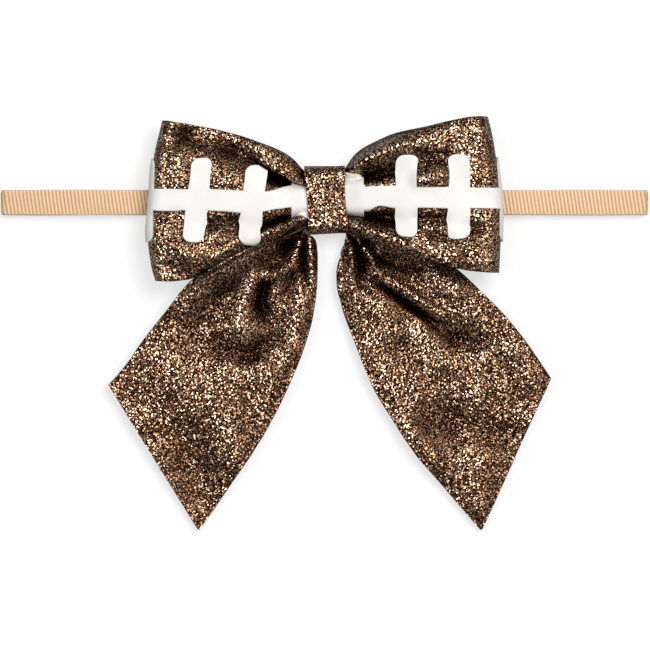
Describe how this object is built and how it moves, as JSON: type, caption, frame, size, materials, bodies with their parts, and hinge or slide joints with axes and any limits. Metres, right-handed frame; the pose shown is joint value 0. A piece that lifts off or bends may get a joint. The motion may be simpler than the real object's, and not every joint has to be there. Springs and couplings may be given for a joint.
{
  "type": "hair bow headband",
  "caption": "Laced sailor hair bow with loops and pointed tails, wrapped round a narrow stretch headband, lying flat on its back.",
  "frame": {"origin": "on the table under the middle of the knot, at the underside of the headband's lower layer", "axes": "+X along the headband to the right loop, +Y to the top of the bow (away from the tails), +Z out of the bow's front"},
  "size_m": [0.1642, 0.1049, 0.0153],
  "materials": {
    "glitter_sheet": "dark brown sheet covered in gold, copper and cream glitter flakes",
    "lace_sheet": "smooth matt off-white sheet",
    "band_knit": "nude ribbed stretch nylon knit",
    "band_thread": "nude sewing thread",
    "binding_thread": "dark brown thread",
    "glue": "set hot glue"
  },
  "bodies": {
    "headband": {"headband": "band_knit", "headband_stitching": "band_thread"},
    "knot": {"centre_wrap": "glitter_sheet", "wrap_glue": "glue", "gather_thread": "binding_thread", "tail_pinch": "glitter_sheet", "loop_pinch": "glitter_sheet"},
    "left_loop": {"left_loop": "glitter_sheet", "left_lace": "lace_sheet"},
    "right_loop": {"right_loop": "glitter_sheet", "right_lace": "lace_sheet"},
    "left_tail": {"left_tail": "glitter_sheet"},
    "right_tail": {"right_tail": "glitter_sheet"}
  },
  "joints": [
    {"name": "bow_slide", "type": "slide", "parent": "headband", "child": "knot", "axis": [1, 0, 0], "range_m": [-0.02, 0.02]},
    {"name": "left_loop_flex", "type": "hinge", "parent": "knot", "child": "left_loop", "pos_m": [-0.0035, 0, 0.0098], "axis": [0, 1, 0], "range_deg": [0, 12], "stiffness_Nm_per_rad": 0.01},
    {"name": "right_loop_flex", "type": "hinge", "parent": "knot", "child": "right_loop", "pos_m": [0.0035, 0, 0.0098], "axis": [0, -1, 0], "range_deg": [0, 12], "stiffness_Nm_per_rad": 0.01},
    {"name": "left_tail_lift", "type": "hinge", "parent": "knot", "child": "left_tail", "pos_m": [-0.00525, -0.0065, 0.0058], "axis": [-0.9285, -0.3714, 0], "range_deg": [0, 50], "stiffness_Nm_per_rad": 0.002},
    {"name": "right_tail_lift", "type": "hinge", "parent": "knot", "child": "right_tail", "pos_m": [0.00525, -0.0065, 0.0058], "axis": [-0.9496, 0.3134, 0], "range_deg": [0, 50], "stiffness_Nm_per_rad": 0.002}
  ]
}
